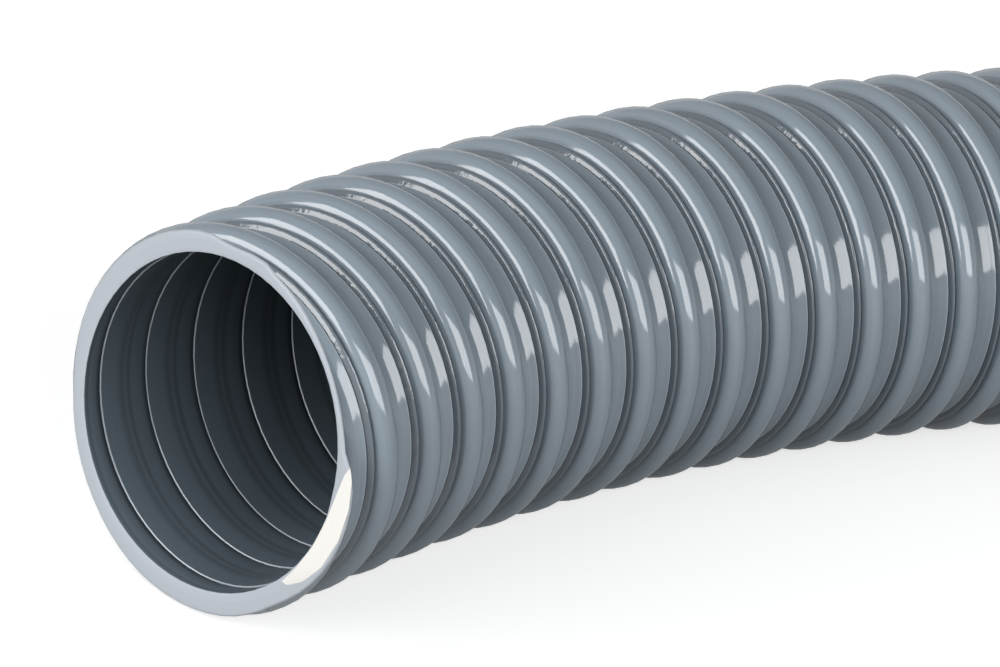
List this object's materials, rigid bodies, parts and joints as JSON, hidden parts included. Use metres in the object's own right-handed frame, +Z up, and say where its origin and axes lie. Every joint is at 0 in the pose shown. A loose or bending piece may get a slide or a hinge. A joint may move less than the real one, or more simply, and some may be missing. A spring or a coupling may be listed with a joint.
{
  "type": "flexible duct",
  "caption": "Bent length of soft spiral hose with a half-round rib wound round it and a rigid helix sealed in the rib; open at both ends.",
  "frame": {"origin": "centre of the front mouth, on the duct's axis", "axes": "+X from the front mouth to the back mouth, +Z up from the floor that it lies on; between its mouths the axis bows towards +Y"},
  "size_m": [1.0122, 0.1749, 0.116],
  "materials": {
    "soft_pvc": "glossy",
    "rigid_pvc": "satin"
  },
  "bodies": {
    "root": {"hose_wall": "soft_pvc", "reinforcing_helix": "rigid_pvc"}
  },
  "joints": []
}
